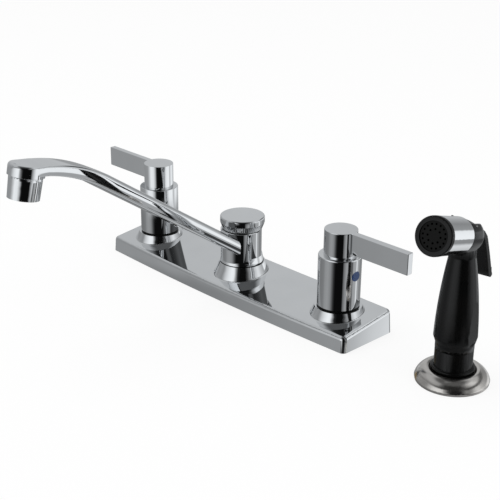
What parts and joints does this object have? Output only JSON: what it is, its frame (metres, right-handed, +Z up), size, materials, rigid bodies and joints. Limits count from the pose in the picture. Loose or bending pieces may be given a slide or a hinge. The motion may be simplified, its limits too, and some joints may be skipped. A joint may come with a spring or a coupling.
{
  "type": "two handle kitchen faucet",
  "caption": "Two handle kitchen faucet: long deck plate, swinging flat-topped spout with aerator, lever handles and a separate pull-up side sprayer with a squeeze trigger.",
  "frame": {"origin": "on the spout's turning axis, in the plane of the deck that the faucet stands on", "axes": "+Z up, X along the deck plate with the hot handle at -X and the cold handle and the sprayer at +X, -Y toward the sink (front)"},
  "size_m": [0.3939, 0.2428, 0.1961],
  "materials": {
    "deck_shell": "polished",
    "base_gasket": "matt",
    "base_plate": "moulded black",
    "valve_body_hot": "machined",
    "valve_body_cold": "machined",
    "cross_tube_hot": "drawn copper",
    "cross_tube_cold": "drawn copper",
    "bonnet_nut_hot": "machined",
    "bonnet_nut_cold": "machined",
    "glide_ring_hot": "moulded black",
    "glide_ring_cold": "moulded black",
    "cartridge_housing_hot": "moulded white",
    "cartridge_housing_cold": "moulded white",
    "seat_seal_hot": "matt",
    "seat_seal_cold": "matt",
    "fixed_disc_hot": "lapped",
    "fixed_disc_cold": "lapped",
    "shank_washers": "plain",
    "lock_nuts": "machined",
    "spout_post": "machined",
    "spout_o_rings": "matt",
    "spray_nipple": "machined",
    "diverter_cage": "moulded white",
    "spout_glide_ring": "moulded black",
    "cap_washer": "moulded black",
    "spout_cap": "polished",
    "sprayer_flange": "satin nickel",
    "sprayer_holder": "moulded black",
    "holder_washer": "plain",
    "holder_nut": "moulded white",
    "spout": "polished",
    "aerator_housing": "polished",
    "aerator_insert": "moulded white",
    "flow_screen": "plain",
    "aerator_washer": "matt",
    "handle_hot": "polished",
    "index_plug_hot": "coloured",
    "set_screw_hot": "plain",
    "stem_hot": "machined",
    "upper_disc_hot": "lapped",
    "handle_cold": "polished",
    "index_plug_cold": "coloured",
    "set_screw_cold": "plain",
    "stem_cold": "machined",
    "upper_disc_cold": "lapped",
    "diverter_poppet": "moulded white",
    "spray_body": "moulded black",
    "spray_band": "polished",
    "spray_face": "moulded",
    "face_ring": "moulded black",
    "trigger_pin": "plain",
    "inlet_adapter": "machined",
    "valve_spring": "plain",
    "trigger": "moulded black",
    "valve_plunger": "machined",
    "valve_seal": "matt"
  },
  "bodies": {
    "deck_set": {"deck_shell": "deck_shell", "base_gasket": "base_gasket", "base_plate": "base_plate", "valve_body_hot": "valve_body_hot", "valve_body_cold": "valve_body_cold", "cross_tube_hot": "cross_tube_hot", "cross_tube_cold": "cross_tube_cold", "bonnet_nut_hot": "bonnet_nut_hot", "bonnet_nut_cold": "bonnet_nut_cold", "glide_ring_hot": "glide_ring_hot", "glide_ring_cold": "glide_ring_cold", "cartridge_housing_hot": "cartridge_housing_hot", "cartridge_housing_cold": "cartridge_housing_cold", "seat_seal_hot": "seat_seal_hot", "seat_seal_cold": "seat_seal_cold", "fixed_disc_hot": "fixed_disc_hot", "fixed_disc_cold": "fixed_disc_cold", "shank_washers": "shank_washers", "lock_nuts": "lock_nuts", "spout_post": "spout_post", "spout_o_rings": "spout_o_rings", "spray_nipple": "spray_nipple", "diverter_cage": "diverter_cage", "spout_glide_ring": "spout_glide_ring", "cap_washer": "cap_washer", "spout_cap": "spout_cap", "sprayer_flange": "sprayer_flange", "sprayer_holder": "sprayer_holder", "holder_washer": "holder_washer", "holder_nut": "holder_nut"},
    "spout_set": {"spout": "spout", "aerator_housing": "aerator_housing", "aerator_insert": "aerator_insert", "flow_screen": "flow_screen", "aerator_washer": "aerator_washer"},
    "hot_handle_set": {"handle_hot": "handle_hot", "index_plug_hot": "index_plug_hot", "set_screw_hot": "set_screw_hot", "stem_hot": "stem_hot", "upper_disc_hot": "upper_disc_hot"},
    "cold_handle_set": {"handle_cold": "handle_cold", "index_plug_cold": "index_plug_cold", "set_screw_cold": "set_screw_cold", "stem_cold": "stem_cold", "upper_disc_cold": "upper_disc_cold"},
    "diverter_set": {"diverter_poppet": "diverter_poppet"},
    "sprayer_set": {"spray_body": "spray_body", "spray_band": "spray_band", "spray_face": "spray_face", "face_ring": "face_ring", "trigger_pin": "trigger_pin", "inlet_adapter": "inlet_adapter", "valve_spring": "valve_spring"},
    "trigger_set": {"trigger": "trigger"},
    "plunger_set": {"valve_plunger": "valve_plunger", "valve_seal": "valve_seal"}
  },
  "joints": [
    {"name": "spout_swivel", "type": "hinge", "parent": "deck_set", "child": "spout_set", "pos_m": [0, 0, 0.04], "axis": [0, 0, 1], "range_deg": [-90, 70]},
    {"name": "hot_handle_turn", "type": "hinge", "parent": "deck_set", "child": "hot_handle_set", "pos_m": [-0.1016, 0, 0.04], "axis": [0, 0, 1], "range_deg": [0, 90]},
    {"name": "cold_handle_turn", "type": "hinge", "parent": "deck_set", "child": "cold_handle_set", "pos_m": [0.1016, 0, 0.04], "axis": [0, 0, 1], "range_deg": [-90, 0]},
    {"name": "diverter_lift", "type": "slide", "parent": "deck_set", "child": "diverter_set", "axis": [0, 0, 1], "range_m": [0, 0.003]},
    {"name": "sprayer_lift", "type": "slide", "parent": "deck_set", "child": "sprayer_set", "axis": [0, 0, 1], "range_m": [0, 0.08]},
    {"name": "trigger_squeeze", "type": "hinge", "parent": "sprayer_set", "child": "trigger_set", "pos_m": [0.205, -0.00196, 0.112], "axis": [-0.986, -0.1668, 0], "range_deg": [0, 6], "stiffness_Nm_per_rad": 2, "springref_deg": -2.86},
    {"name": "plunger_press", "type": "slide", "parent": "sprayer_set", "child": "plunger_set", "axis": [0, 0, -1], "range_m": [0, 0.00095], "deforming": ["valve_spring"]}
  ],
  "couplings": [
    {"joint": "plunger_press", "follows": "trigger_squeeze", "m_per_rad": 0.0086}
  ]
}
